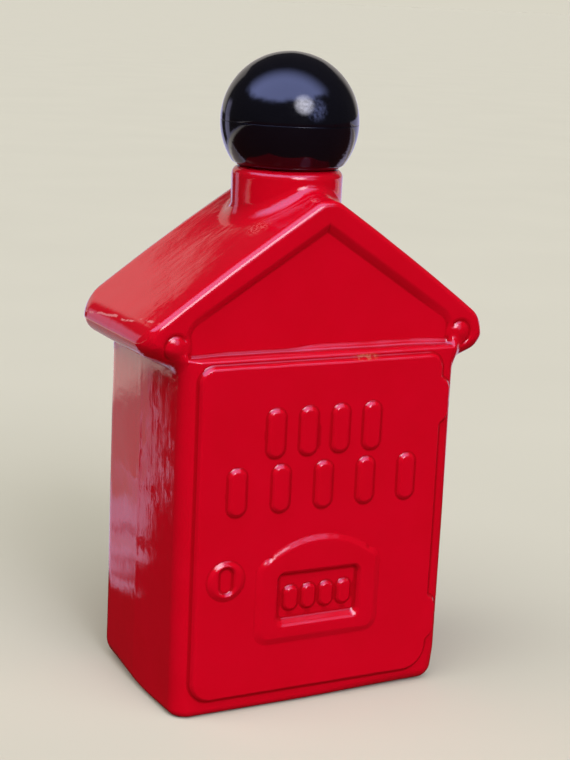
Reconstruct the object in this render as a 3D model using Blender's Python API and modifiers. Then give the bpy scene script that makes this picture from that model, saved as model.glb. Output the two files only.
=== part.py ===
"""Bottle shaped as a gabled street alarm box, with a ball-shaped screw cap.

The origin is in the middle of the bottle's outline in plan, on the plane it stands on. +Z is up, the
moulded door faces -Y and +X is to its right. The cap screws on a round neck that rises through the
roof ridge. Everything is modelled about the neck's axis, which stands a little behind the origin.
"""

import math

import bmesh
import bpy
from mathutils import Matrix, Vector

MM = 0.001
GAP = 0.3 * MM  # air between two separate pieces
TINY = 0.1 * MM  # keeps two faces from lying in one plane

# Body block
WIDTH = 58.0 * MM
DEPTH = 39.4 * MM
SILL_HEIGHT = 69.6 * MM
FRONT = -DEPTH / 2
BACK = DEPTH / 2
FRONT_CORNER = 2.75 * MM
BACK_CORNER = 5.3 * MM
BASE_ROUND = 1.3 * MM
BASE_RIM = 5.0 * MM
BASE_RECESS = 0.9 * MM
SILL_INSET = 1.2 * MM  # how far the sill's ends stay inside the body's sides
SILL_DEPTH = 6.0 * MM
SILL_CORNER = 1.5 * MM
SILL_EDGE = 0.5 * MM

# Gabled head, in the front view
ROOF_SLOPE = 0.677
ROOF_CROSSING = 99.8 * MM  # where the two slopes would meet
RIDGE_ROUND = 5.1 * MM
EAVE_REACH = 36.8 * MM
EAVE_ROUND = 5.0 * MM
EAVE_UNDERSIDE = 69.5 * MM
EAVE_UNDER_ROUND = 2.4 * MM
EAVE_FOOT = 66.3 * MM
EAVE_FILLET = 2.0 * MM
EAVE_BACK_CORNER = 9.0 * MM  # round back ends of the eaves, in plan
HEAD_FOOT = 40.0 * MM  # level inside the body where the head's plan is cut from
HEAD_SETBACK = 1.4 * MM
HEAD_EDGE = 1.9 * MM

# Recessed pediment inside the rake bands
PEDIMENT_CROWN = 94.2 * MM
PEDIMENT_HALF = 28.4 * MM
PEDIMENT_SHOULDER = 75.0 * MM
PEDIMENT_FLOOR_HALF = 26.9 * MM
PEDIMENT_DEPTH = 1.2 * MM
PEDIMENT_CROWN_ROUND = 1.5 * MM
PEDIMENT_SHOULDER_ROUND = 0.8 * MM
SCROLL_AT = (30.3 * MM, 72.2 * MM)
SCROLL_EYE = 1.5 * MM
SCROLL_HEIGHT = 0.5 * MM
SCROLL_GROOVE_RADIUS = 2.7 * MM
SCROLL_GROOVE_WIDTH = 1.0 * MM
SCROLL_SWEEP = (150, -60)  # degrees, from the inner side over the top and down outside

# Door and what is moulded on it
DOOR_LEFT = -26.2 * MM
DOOR_RIGHT = 25.6 * MM
DOOR_BOTTOM = 3.4 * MM
DOOR_TOP = 68.4 * MM
DOOR_HEIGHT = 0.9 * MM
DOOR_TOP_CORNER = 3.0 * MM
DOOR_LEFT_CORNER = 4.0 * MM
DOOR_RIGHT_CORNER = 5.0 * MM
KNUCKLE_REACH = 1.9 * MM
KNUCKLE_LENGTH = 8.8 * MM
KNUCKLE_ROUND = 1.6 * MM
KNUCKLE_BOTTOMS = (9.6 * MM, 54.6 * MM)
PLAQUE_HALF = 12.9 * MM
PLAQUE_BOTTOM = 13.9 * MM
PLAQUE_SHOULDER = 30.2 * MM
PLAQUE_SHOULDER_ROUND = 1.2 * MM
PLAQUE_CORNER = 2.5 * MM
PLAQUE_ARCH_HALF = 10.2 * MM
PLAQUE_ARCH_RISE = 3.2 * MM
PLAQUE_ARCH_SPRING = 31.0 * MM
PLAQUE_HEIGHT = 0.7 * MM
WINDOW = (-8.8 * MM, 8.8 * MM, 17.4 * MM, 27.3 * MM)
WINDOW_DEPTH = 1.0 * MM
WINDOW_CORNER = 1.2 * MM
RIB_COUNT = 4
RIB_SPAN = (-7.2 * MM, 7.2 * MM)
RIB_RANGE = (19.5 * MM, 24.4 * MM)
RIB_WIDTH = 1.9 * MM
RIB_HEIGHT = 0.5 * MM
BAR_ROWS = (
    (4, -12.3 * MM, 11.7 * MM, 50.7 * MM, 59.7 * MM),
    (5, -20.0 * MM, 20.0 * MM, 40.0 * MM, 48.8 * MM),
)
BAR_WIDTH = 3.4 * MM
BAR_HEIGHT = 0.6 * MM
KEYHOLE_AT = (-20.4 * MM, 27.3 * MM)
KEYHOLE_PLATE = 3.9 * MM
KEYHOLE_HEIGHT = 0.6 * MM
KEYHOLE_SLOT = (1.25 * MM, 2.7 * MM)
KEYHOLE_DEPTH = 0.7 * MM

# Glass wall and inside
SIDE_WALL = 3.2 * MM
FRONT_WALL = 3.3 * MM
BASE_WALL = 4.2 * MM
ROOF_WALL = 4.4 * MM
CAVITY_CORNER = 4.0 * MM
CAVITY_EDGE = 1.5 * MM
CAVITY_EAVE_ROUND = 3.0 * MM
CAVITY_EAVE_REACH = 28.4 * MM
CAVITY_HEAD_FOOT = 64.3 * MM

# Collar and neck finish
COLLAR_RADIUS = 10.8 * MM
COLLAR_TOP = 102.7 * MM
COLLAR_ROUND = 1.7 * MM
NECK_RADIUS = 5.8 * MM
NECK_TOP = 112.0 * MM
NECK_LIP = 0.5 * MM
BORE_RADIUS = 3.6 * MM
NECK_ROOT = 84.4 * MM  # foot of the neck, buried in the head
BORE_ROOT = 82.4 * MM

# Screw thread, right-handed
THREAD_PITCH = 3.2 * MM
THREAD_TURNS = 1.25
THREAD_DEPTH = 0.9 * MM
THREAD_FOOT = 1.5 * MM
THREAD_CREST = 0.6 * MM
THREAD_START = 105.0 * MM
THREAD_STEPS = 36  # per turn
THREAD_SINK = 0.3 * MM  # how far a ridge is rooted in the wall behind it
THREAD_LAG = 0.6 * MM  # how far below the neck's thread the insert's thread starts

# Pour plug in the bore
PLUG_LENGTH = 6.0 * MM
PLUG_WALL = 0.8 * MM
PLUG_FLANGE_RADIUS = 5.2 * MM
PLUG_FLANGE = 0.8 * MM
PLUG_ORIFICE = 1.0 * MM

# Ball cap
BALL_RADIUS = 13.4 * MM
BALL_CENTRE = 111.3 * MM
BALL_WALL = 1.8 * MM
BALL_MOUTH = 9.7 * MM
BALL_STEPS = 40
LAP_DEPTH = 2.2 * MM
LAP_WALL = 0.75 * MM
SLEEVE_TOP = 110.0 * MM
SLEEVE_WALL = 1.0 * MM
LAP_STEP = 0.6 * MM  # how far the upper half's lap stands inside its wall
CAP_FLOOR = 1.6 * MM
CAP_FOOT = 0.9 * MM  # height of the ball's lower rim above the cap's foot
KEY_COUNT = 4
KEY_WIDTH = 1.2 * MM
KEY_LENGTH = 4.0 * MM
KEY_DEPTH = 1.6 * MM
SLOT_DEPTH = 3.0 * MM
SLOT_ABOVE = 2.0 * MM  # how far a key slot runs on above the sleeve's top

# Threaded insert and liner inside the cap
INSERT_BORE = 7.0 * MM
INSERT_RADIUS = 8.3 * MM
INSERT_CEILING = 1.2 * MM
LINER_RADIUS = 6.4 * MM
LINER_THICKNESS = 0.8 * MM

# Base label
LABEL_THICKNESS = 0.2 * MM
LABEL_INSET = 1.5 * MM

CAP_BOTTOM = COLLAR_TOP + GAP
PLUG_TOP = NECK_TOP + GAP + PLUG_FLANGE
LINER_BOTTOM = PLUG_TOP + GAP
INSERT_TOP = LINER_BOTTOM + LINER_THICKNESS + GAP + INSERT_CEILING
HEAD_FRONT = FRONT + HEAD_SETBACK
DOOR_FACE = FRONT - DOOR_HEIGHT
PLAQUE_FACE = DOOR_FACE - PLAQUE_HEIGHT
NECK_Y = -(PLAQUE_FACE + BACK) / 2  # puts the origin half way between the plaque and the back


def clear_scene():
    for old in list(bpy.data.objects):
        bpy.data.objects.remove(old, do_unlink=True)


def new_collection(name):
    made = bpy.data.collections.new(name)
    bpy.context.scene.collection.children.link(made)
    return made


def principled(name, colour, roughness, metallic=0.0):
    made = bpy.data.materials.new(name)
    made.use_nodes = True
    shader = made.node_tree.nodes["Principled BSDF"]
    shader.inputs["Base Color"].default_value = (*colour, 1.0)
    shader.inputs["Roughness"].default_value = roughness
    shader.inputs["Metallic"].default_value = metallic
    return made


def rounded(corners, steps=4):
    """Outline through (x, y, radius) corners, each turned by an arc of that radius."""
    outline = []
    for index, (x, y, radius) in enumerate(corners):
        corner = Vector((x, y))
        to_last = (Vector(corners[index - 1][:2]) - corner).normalized()
        to_next = (Vector(corners[(index + 1) % len(corners)][:2]) - corner).normalized()
        if radius == 0:
            outline.append(corner)
            continue
        half = to_last.angle(to_next) / 2
        centre = corner + (to_last + to_next).normalized() * radius / math.sin(half)
        start = corner + to_last * radius / math.tan(half) - centre
        end = corner + to_next * radius / math.tan(half) - centre
        turn = math.atan2(start.x * end.y - start.y * end.x, start.dot(end))
        for step in range(steps + 1):
            outline.append(centre + Matrix.Rotation(turn * step / steps, 2) @ start)
    return outline


def rectangle(left, right, bottom, top, radius):
    return [(left, bottom, radius), (right, bottom, radius), (right, top, radius), (left, top, radius)]


def oval(x, z, wide, tall, steps=16):
    """Round-ended upright outline, or a disc when wide equals tall (half sizes)."""
    outline = []
    for step in range(steps):
        angle = math.tau * (step + 0.5) / steps
        rise = math.copysign(tall - wide, math.sin(angle)) + wide * math.sin(angle)
        outline.append((x + wide * math.cos(angle), z + rise, 0))
    return outline


def mesh_from_curve(name, curve, placing):
    """Solid mesh of a curve, welded and moved to its place; the curve goes away."""
    guide = bpy.data.objects.new(name, curve)
    bpy.context.scene.collection.objects.link(guide)
    bpy.context.view_layer.update()
    mesh = bpy.data.meshes.new_from_object(guide.evaluated_get(bpy.context.evaluated_depsgraph_get()))
    mesh.name = name
    bpy.data.objects.remove(guide)
    bpy.data.curves.remove(curve)
    solid = bmesh.new()
    solid.from_mesh(mesh)
    bmesh.ops.remove_doubles(solid, verts=solid.verts, dist=0.001 * MM)
    bmesh.ops.transform(solid, matrix=placing, verts=solid.verts)
    bmesh.ops.recalc_face_normals(solid, faces=solid.faces)
    solid.to_mesh(mesh)
    solid.free()
    return bpy.data.objects.new(name, mesh)


def slab(name, outline, thickness, edge, edge_steps, placing):
    """Flat outline made solid about its own plane, with its edges broken by edge."""
    curve = bpy.data.curves.new(name, "CURVE")
    curve.dimensions = "2D"
    curve.fill_mode = "BOTH"
    curve.extrude = thickness / 2 - edge
    curve.bevel_depth = edge
    curve.bevel_resolution = edge_steps
    curve.offset = -edge
    spline = curve.splines.new("POLY")
    spline.points.add(len(outline) - 1)
    for point, place in zip(spline.points, outline):
        point.co = (place[0], place[1], 0.0, 1.0)
    spline.use_cyclic_u = True
    return mesh_from_curve(name, curve, placing)


def front_slab(name, corners, near, far, edge=0.0, edge_steps=0, steps=4):
    """Slab drawn in the front view, from near (towards the viewer) back to far."""
    placing = Matrix.Translation((0, (near + far) / 2, 0)) @ Matrix.Rotation(math.pi / 2, 4, "X")
    return slab(name, rounded(corners, steps), far - near, edge, edge_steps, placing)


def plan_slab(name, corners, low, high, edge=0.0, edge_steps=0, steps=4):
    """Slab drawn in plan, from low up to high."""
    placing = Matrix.Translation((0, 0, (low + high) / 2))
    return slab(name, rounded(corners, steps), high - low, edge, edge_steps, placing)


def turned(name, profile, steps):
    """Solid of revolution about Z; the profile runs down its outer side."""
    mesh = bpy.data.meshes.new(name)
    shape = bmesh.new()
    corners = [shape.verts.new((radius, 0, height)) for radius, height in profile]
    for first, second in zip(corners, corners[1:]):
        shape.edges.new((first, second))
    if profile[0][0] > GAP:
        shape.edges.new((corners[-1], corners[0]))
    shape.to_mesh(mesh)
    shape.free()
    made = bpy.data.objects.new(name, mesh)
    screw = made.modifiers.new("Turn", "SCREW")
    screw.steps = steps
    screw.render_steps = steps
    screw.use_merge_vertices = True
    screw.merge_threshold = 0.001 * MM
    return made


def arc(centre, radius, first, last, steps):
    """Points on an arc in the profile plane, angles in degrees from the outward direction."""
    points = []
    for step in range(steps + 1):
        angle = math.radians(first + (last - first) * step / steps)
        points.append((centre[0] + radius * math.cos(angle), centre[1] + radius * math.sin(angle)))
    return points


def thread_ridge(name, root, depth, start_height, start_angle):
    """Helical ridge from a root radius to root + depth; its height fades in and out at the ends.

    A negative depth makes an internal thread.
    """
    count = round(THREAD_TURNS * THREAD_STEPS)
    fade = THREAD_STEPS // 8
    sink = -math.copysign(THREAD_SINK, depth)
    shape = bmesh.new()
    rings = []
    for step in range(count + 1):
        turn = math.tau * step / THREAD_STEPS
        rise = min(1.0, (min(step, count - step) + 0.5) / fade)
        crest = root + depth * rise
        height = start_height + THREAD_PITCH * turn / math.tau
        section = (
            (root + sink, -THREAD_FOOT / 2),
            (crest, -THREAD_CREST / 2),
            (crest, THREAD_CREST / 2),
            (root + sink, THREAD_FOOT / 2),
        )
        around = Matrix.Rotation(start_angle + turn, 3, "Z")
        rings.append([shape.verts.new(around @ Vector((r, 0, height + z))) for r, z in section])
    for ring, following in zip(rings, rings[1:]):
        for k in range(4):
            shape.faces.new((ring[k], ring[(k + 1) % 4], following[(k + 1) % 4], following[k]))
    shape.faces.new(rings[0])
    shape.faces.new(rings[-1])
    bmesh.ops.recalc_face_normals(shape, faces=shape.faces)
    mesh = bpy.data.meshes.new(name)
    shape.to_mesh(mesh)
    shape.free()
    return bpy.data.objects.new(name, mesh)


def block(name, size, centre, turn=0.0):
    """Box of a given size about a centre, turned about Z through the origin."""
    shape = bmesh.new()
    bmesh.ops.create_cube(shape, size=1.0)
    bmesh.ops.scale(shape, vec=size, verts=shape.verts)
    bmesh.ops.translate(shape, vec=centre, verts=shape.verts)
    bmesh.ops.rotate(shape, matrix=Matrix.Rotation(turn, 3, "Z"), verts=shape.verts)
    mesh = bpy.data.meshes.new(name)
    shape.to_mesh(mesh)
    shape.free()
    return bpy.data.objects.new(name, mesh)


class Assembly:
    """Keeps the parts in one collection and the tools that shape them in another."""

    def __init__(self, name):
        self.parts = new_collection(name)
        self.tools = new_collection(name + "_cutters")
        self.axis = bpy.data.objects.new("neck_axis", None)
        self.axis.location.y = NECK_Y
        self.parts.objects.link(self.axis)

    def add(self, part, material, origin_height=0.0):
        """Adds a finished part and puts its origin on the neck axis at a height."""
        part.data.materials.append(material)
        part.data.transform(Matrix.Translation((0, 0, -origin_height)))
        part.location.z = origin_height
        part.parent = self.axis
        self.parts.objects.link(part)
        return part

    def shape(self, part, tool, operation):
        tool.display_type = "WIRE"
        tool.hide_render = True
        tool.parent = self.axis
        self.tools.objects.link(tool)
        step = part.modifiers.new(tool.name, "BOOLEAN")
        step.operation = operation
        step.object = tool

    def join(self, part, tool):
        self.shape(part, tool, "UNION")

    def cut(self, part, tool):
        self.shape(part, tool, "DIFFERENCE")


def plan_corners(inset):
    """The body's plan, drawn in from its outside by an inset."""
    side = WIDTH / 2 - inset
    front_round = max(FRONT_CORNER - inset, CAVITY_CORNER if inset else 0)
    back_round = max(BACK_CORNER - inset, CAVITY_CORNER if inset else 0)
    return [
        (-side, FRONT + inset, front_round),
        (side, FRONT + inset, front_round),
        (side, BACK - inset, back_round),
        (-side, BACK - inset, back_round),
    ]


def mirrored(right_side):
    """Closes an outline given as its right half, running down from the crown."""
    left_side = [(-x, z, radius) for x, z, radius in reversed(right_side) if x > 0]
    return right_side + left_side


def head_corners():
    wall = WIDTH / 2 - TINY
    return mirrored([
        (0, ROOF_CROSSING, RIDGE_ROUND),
        (EAVE_REACH, ROOF_CROSSING - ROOF_SLOPE * EAVE_REACH, EAVE_ROUND),
        (EAVE_REACH, EAVE_UNDERSIDE, EAVE_UNDER_ROUND),
        (wall, EAVE_FOOT, EAVE_FILLET),
        (wall - EAVE_FILLET / 2, EAVE_FOOT - 2 * EAVE_FILLET, 0),
    ])


def head_plan_corners():
    """The head's plan: square in front, with wide round corners at the back."""
    side = EAVE_REACH + GAP
    return [
        (-side, FRONT, 0),
        (side, FRONT, 0),
        (side, BACK + GAP, EAVE_BACK_CORNER),
        (-side, BACK + GAP, EAVE_BACK_CORNER),
    ]


def pediment_corners():
    return mirrored([
        (0, PEDIMENT_CROWN, PEDIMENT_CROWN_ROUND),
        (PEDIMENT_HALF, PEDIMENT_SHOULDER, PEDIMENT_SHOULDER_ROUND),
        (PEDIMENT_FLOOR_HALF, SILL_HEIGHT - SILL_CORNER, 0),
    ])


def door_corners():
    """The door's outline, with two hinge knuckles bulging from its right edge."""
    corners = [(DOOR_LEFT, DOOR_TOP, DOOR_TOP_CORNER), (DOOR_LEFT, DOOR_BOTTOM, DOOR_LEFT_CORNER)]
    corners.append((DOOR_RIGHT, DOOR_BOTTOM, DOOR_RIGHT_CORNER))
    for bottom in KNUCKLE_BOTTOMS:
        top = bottom + KNUCKLE_LENGTH
        reach = DOOR_RIGHT + KNUCKLE_REACH
        corners += [(DOOR_RIGHT, bottom, KNUCKLE_ROUND), (reach, bottom + KNUCKLE_REACH, KNUCKLE_ROUND)]
        corners += [(reach, top - KNUCKLE_REACH, KNUCKLE_ROUND), (DOOR_RIGHT, top, KNUCKLE_ROUND)]
    corners.append((DOOR_RIGHT, DOOR_TOP, DOOR_TOP_CORNER))
    return corners


def plaque_corners():
    """Plate with an arched top between two small shoulders."""
    corners = [(-PLAQUE_HALF, PLAQUE_BOTTOM, PLAQUE_CORNER), (PLAQUE_HALF, PLAQUE_BOTTOM, PLAQUE_CORNER)]
    corners.append((PLAQUE_HALF, PLAQUE_SHOULDER, PLAQUE_SHOULDER_ROUND))
    radius = (PLAQUE_ARCH_HALF**2 + PLAQUE_ARCH_RISE**2) / (2 * PLAQUE_ARCH_RISE)
    half_angle = math.degrees(math.asin(PLAQUE_ARCH_HALF / radius))
    centre = (0, PLAQUE_ARCH_SPRING + PLAQUE_ARCH_RISE - radius)
    corners += [(x, z, 0) for x, z in arc(centre, radius, 90 - half_angle, 90 + half_angle, 8)]
    corners.append((-PLAQUE_HALF, PLAQUE_SHOULDER, PLAQUE_SHOULDER_ROUND))
    return corners


def raised(name, corners, surface, height, steps=4):
    """Plate standing proud of a surface, with sloping edges."""
    edge = height + TINY
    return front_slab(name, corners, surface - height, surface + 2 * edge, edge, 0, steps)


def sunk(name, corners, surface, depth, steps=4):
    """Cutter for a recess with sloping sides."""
    edge = depth * 0.6
    return front_slab(name, corners, surface - 2 * edge, surface + depth, edge, 0, steps)


def upright(centre_x, bottom, top, width):
    return rectangle(centre_x - width / 2, centre_x + width / 2, bottom, top, width * 0.45)


def uprights(prefix, count, left, right, bottom, top, width, surface, height):
    """A row of plain rounded upright bars between left and right."""
    pitch = (right - left - width) / (count - 1)
    for index in range(count):
        centre_x = left + width / 2 + pitch * index
        corners = upright(centre_x, bottom, top, width)
        yield raised(f"{prefix}_{index + 1}", corners, surface, height, steps=3)


def scroll_groove(name, side):
    """Round-bottomed groove that curls over a scroll's eye and down its outer side."""
    curve = bpy.data.curves.new(name, "CURVE")
    curve.dimensions = "3D"
    curve.bevel_depth = SCROLL_GROOVE_WIDTH / 2
    curve.bevel_resolution = 2
    curve.use_fill_caps = True
    spline = curve.splines.new("POLY")
    points = arc(SCROLL_AT, SCROLL_GROOVE_RADIUS, *SCROLL_SWEEP, 12)
    spline.points.add(len(points) - 1)
    for point, (x, z) in zip(spline.points, points):
        point.co = (side * x, HEAD_FRONT, z, 1.0)
    return mesh_from_curve(name, curve, Matrix.Identity(4))


def neck_profile():
    return (
        [(0, NECK_TOP), (NECK_RADIUS - NECK_LIP, NECK_TOP), (NECK_RADIUS, NECK_TOP - NECK_LIP)]
        + [(NECK_RADIUS, COLLAR_TOP)]
        + arc((COLLAR_RADIUS - COLLAR_ROUND, COLLAR_TOP - COLLAR_ROUND), COLLAR_ROUND, 90, 0, 3)
        + [(COLLAR_RADIUS, NECK_ROOT), (0, NECK_ROOT)]
    )


def cavity_head_corners():
    """Inside of the head: the roof lines drawn in by the wall."""
    drop = ROOF_WALL * math.hypot(1, ROOF_SLOPE)
    crown = ROOF_CROSSING - drop
    eave = crown - ROOF_SLOPE * CAVITY_EAVE_REACH
    return mirrored([
        (0, crown, CAVITY_EAVE_ROUND),
        (CAVITY_EAVE_REACH, eave, CAVITY_EAVE_ROUND),
        (WIDTH / 2 - SIDE_WALL - TINY, CAVITY_HEAD_FOOT, 0),
    ])


def relief_on(body, assembly):
    """Everything moulded on the front: door, hinges, plaque, keyhole, bars and scrolls."""
    assembly.join(body, raised("door", door_corners(), FRONT, DOOR_HEIGHT))
    assembly.join(body, raised("plaque", plaque_corners(), DOOR_FACE, PLAQUE_HEIGHT))
    assembly.cut(body, sunk("window", rectangle(*WINDOW, WINDOW_CORNER), PLAQUE_FACE, WINDOW_DEPTH))
    window_floor = PLAQUE_FACE + WINDOW_DEPTH
    ribs = uprights("grip_rib", RIB_COUNT, *RIB_SPAN, *RIB_RANGE, RIB_WIDTH, window_floor, RIB_HEIGHT)
    for rib in ribs:
        assembly.join(body, rib)
    plate = oval(*KEYHOLE_AT, KEYHOLE_PLATE, KEYHOLE_PLATE, steps=20)
    assembly.join(body, raised("keyhole_plate", plate, DOOR_FACE, KEYHOLE_HEIGHT))
    slot = oval(*KEYHOLE_AT, *KEYHOLE_SLOT)
    assembly.cut(body, sunk("keyhole_slot", slot, DOOR_FACE - KEYHOLE_HEIGHT, KEYHOLE_DEPTH))
    for row, (count, left, right, bottom, top) in enumerate(BAR_ROWS):
        bars = uprights(f"bar_row_{row + 1}", count, left, right, bottom, top, BAR_WIDTH,
                        DOOR_FACE, BAR_HEIGHT)
        for bar in bars:
            assembly.join(body, bar)
    for side in (-1, 1):
        assembly.cut(body, scroll_groove(f"scroll_groove_{side + 1}", side))
        eye = oval(side * SCROLL_AT[0], SCROLL_AT[1], SCROLL_EYE, SCROLL_EYE)
        assembly.join(body, raised(f"scroll_eye_{side + 1}", eye, HEAD_FRONT, SCROLL_HEIGHT))


def hollow_out(body, assembly):
    """The bottle's inside: a body cavity, a head cavity above it and the bore to the mouth."""
    cavity = plan_corners(SIDE_WALL)
    cavity = [(x, y + (FRONT_WALL - SIDE_WALL) * (y < 0), radius) for x, y, radius in cavity]
    body_inside = plan_slab("body_inside", cavity, BASE_WALL, EAVE_FOOT, CAVITY_EDGE, 1)
    assembly.cut(body, body_inside)
    near = HEAD_FRONT + PEDIMENT_DEPTH + FRONT_WALL
    head_inside = front_slab("head_inside", cavity_head_corners(), near, BACK - SIDE_WALL, CAVITY_EDGE, 1)
    assembly.cut(body, head_inside)
    top = NECK_TOP + GAP
    bore = turned("bore", [(0, top), (BORE_RADIUS, top), (BORE_RADIUS, BORE_ROOT), (0, BORE_ROOT)], 32)
    assembly.cut(body, bore)


def build_bottle(assembly, material):
    bottle = plan_slab("glass_bottle", plan_corners(0), 0, SILL_HEIGHT, BASE_ROUND, 1)
    assembly.add(bottle, material)
    head = front_slab("head", head_corners(), HEAD_FRONT, BACK, HEAD_EDGE, 1, steps=5)
    head_plan = plan_slab("head_plan", head_plan_corners(), HEAD_FOOT, NECK_TOP)
    assembly.shape(head, head_plan, "INTERSECT")
    assembly.join(bottle, head)
    assembly.cut(bottle, sunk("pediment", pediment_corners(), HEAD_FRONT, PEDIMENT_DEPTH))
    assembly.join(bottle, plan_slab("sill", sill_corners(), SILL_HEIGHT - SILL_DEPTH, SILL_HEIGHT,
                                    SILL_EDGE, 0))
    assembly.join(bottle, turned("neck", neck_profile(), 40))
    relief_on(bottle, assembly)
    assembly.join(bottle, thread_ridge("neck_thread", NECK_RADIUS, THREAD_DEPTH, THREAD_START, 0.0))
    hollow_out(bottle, assembly)
    recess = plan_corners(BASE_RIM)
    assembly.cut(bottle, plan_slab("base_recess", recess, -BASE_RECESS, BASE_RECESS))
    return bottle


def sill_corners():
    """Shelf at the foot of the pediment, standing out to the body's front."""
    half = WIDTH / 2 - SILL_INSET
    return rectangle(-half, half, FRONT + TINY / 5, FRONT + SILL_DEPTH, SILL_CORNER)


def build_plug(assembly, material):
    """Plastic pour plug: a barrel in the bore and a flange on the lip, with one small orifice."""
    outside = BORE_RADIUS - GAP
    inside = outside - PLUG_WALL
    under_flange = PLUG_TOP - PLUG_FLANGE
    profile = [
        (PLUG_ORIFICE, PLUG_TOP),
        (PLUG_FLANGE_RADIUS, PLUG_TOP),
        (PLUG_FLANGE_RADIUS, under_flange),
        (outside, under_flange),
        (outside, under_flange - PLUG_LENGTH),
        (inside, under_flange - PLUG_LENGTH),
        (inside, under_flange),
        (PLUG_ORIFICE, under_flange),
    ]
    assembly.add(turned("pour_plug", profile, 28), material)


def build_liner(assembly, material):
    liner = turned("cap_liner", [
        (0, LINER_BOTTOM + LINER_THICKNESS),
        (LINER_RADIUS, LINER_BOTTOM + LINER_THICKNESS),
        (LINER_RADIUS, LINER_BOTTOM),
        (0, LINER_BOTTOM),
    ], 32)
    assembly.add(liner, material)


def build_insert(assembly, material):
    """Threaded cup that grips the neck; keys on its outside stop it turning in the shell."""
    ceiling = INSERT_TOP - INSERT_CEILING
    insert = turned("cap_thread_insert", [
        (0, INSERT_TOP),
        (INSERT_RADIUS, INSERT_TOP),
        (INSERT_RADIUS, CAP_BOTTOM + GAP),
        (INSERT_BORE, CAP_BOTTOM + GAP),
        (INSERT_BORE, ceiling),
        (0, ceiling),
    ], 36)
    assembly.add(insert, material)
    half_pitch_turn = math.tau * (THREAD_PITCH / 2 - THREAD_LAG) / THREAD_PITCH
    start = THREAD_START - THREAD_LAG
    ridge = thread_ridge("insert_thread", INSERT_BORE, -THREAD_DEPTH, start, half_pitch_turn)
    assembly.join(insert, ridge)
    for index in range(KEY_COUNT):
        size = (KEY_DEPTH, KEY_WIDTH, KEY_LENGTH)
        centre = (INSERT_RADIUS + KEY_DEPTH / 4, 0, SLEEVE_TOP - KEY_LENGTH / 2)
        turn = math.tau * index / KEY_COUNT
        assembly.join(insert, block(f"key_{index + 1}", size, centre, turn))


def build_shells(assembly, material):
    """Two hollow half balls that meet in a lap joint at the equator."""
    inner = BALL_RADIUS - BALL_WALL
    centre = (0, BALL_CENTRE)
    seam = math.degrees(math.asin(GAP / 2 / BALL_RADIUS))
    lap_inside = BALL_RADIUS - LAP_WALL - GAP
    lap_foot = BALL_CENTRE - LAP_DEPTH + GAP
    upper_profile = (
        arc(centre, BALL_RADIUS, 90, seam, 12)
        + [(lap_inside, BALL_CENTRE + GAP / 2), (lap_inside, lap_foot)]
        + [(inner - LAP_STEP, lap_foot), (inner - LAP_STEP, BALL_CENTRE)]
        + arc(centre, inner - 2 * TINY, 12, 90, 8)
    )
    assembly.add(turned("cap_upper_shell", upper_profile, BALL_STEPS), material)
    mouth_angle = -math.degrees(math.asin((BALL_CENTRE - CAP_BOTTOM - CAP_FOOT) / BALL_RADIUS))
    floor = CAP_BOTTOM + CAP_FLOOR
    sleeve_inside = INSERT_RADIUS + GAP
    sleeve_outside = sleeve_inside + SLEEVE_WALL
    inner_floor_angle = -math.degrees(math.asin((BALL_CENTRE - floor) / inner))
    lower_profile = (
        [(BALL_RADIUS - LAP_WALL, BALL_CENTRE - GAP / 2)]
        + arc(centre, BALL_RADIUS, -seam, mouth_angle, 7)
        + [(BALL_MOUTH + 4 * TINY, CAP_BOTTOM + 2 * TINY), (BALL_MOUTH, CAP_BOTTOM)]
        + [(sleeve_inside, CAP_BOTTOM), (sleeve_inside, SLEEVE_TOP), (sleeve_outside, SLEEVE_TOP)]
        + [(sleeve_outside, floor)]
        + arc(centre, inner, inner_floor_angle, -12, 5)
        + [(BALL_RADIUS - LAP_WALL, BALL_CENTRE - LAP_DEPTH)]
    )
    lower = turned("cap_lower_shell", lower_profile, BALL_STEPS)
    assembly.add(lower, material)
    size = (SLOT_DEPTH, KEY_WIDTH + 2 * GAP, KEY_LENGTH + SLOT_ABOVE)
    slot_foot = SLEEVE_TOP - KEY_LENGTH - GAP
    middle = (sleeve_inside + SLEEVE_WALL / 2, 0, slot_foot + size[2] / 2)
    for index in range(KEY_COUNT):
        turn = math.tau * index / KEY_COUNT
        assembly.cut(lower, block(f"key_slot_{index + 1}", size, middle, turn))


def build_label(assembly, material):
    """Blank paper label stuck inside the base recess."""
    low = BASE_RECESS - GAP - LABEL_THICKNESS
    label = plan_slab("base_label", plan_corners(BASE_RIM + LABEL_INSET), low, low + LABEL_THICKNESS)
    assembly.add(label, material)


def main():
    clear_scene()
    assembly = Assembly("alarm_box_bottle")
    lacquer = principled("red_lacquered_glass", (0.52, 0.0, 0.010), 0.08)
    black = principled("black_gloss_plastic", (0.008, 0.008, 0.010), 0.12)
    natural = principled("natural_polyethylene", (0.80, 0.80, 0.76), 0.40)
    closure = principled("black_closure_plastic", (0.02, 0.02, 0.022), 0.35)
    foam = principled("liner_foam", (0.85, 0.85, 0.82), 0.70)
    paper = principled("label_paper", (0.82, 0.80, 0.74), 0.60)
    build_bottle(assembly, lacquer)
    build_plug(assembly, natural)
    build_liner(assembly, foam)
    build_insert(assembly, closure)
    build_shells(assembly, black)
    build_label(assembly, paper)


main()
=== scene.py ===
"""Looks of a red lacquered glass bottle in the shape of a street alarm box, with a black ball cap.

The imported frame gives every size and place. The bottle's skin is one rounded solid described by a distance
function in millimetres; a coarse mesh is pulled onto it and made finer wherever the surface bends.
"""

import math

import bmesh
import bpy
import numpy as np
from mathutils import Matrix, Vector


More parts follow.
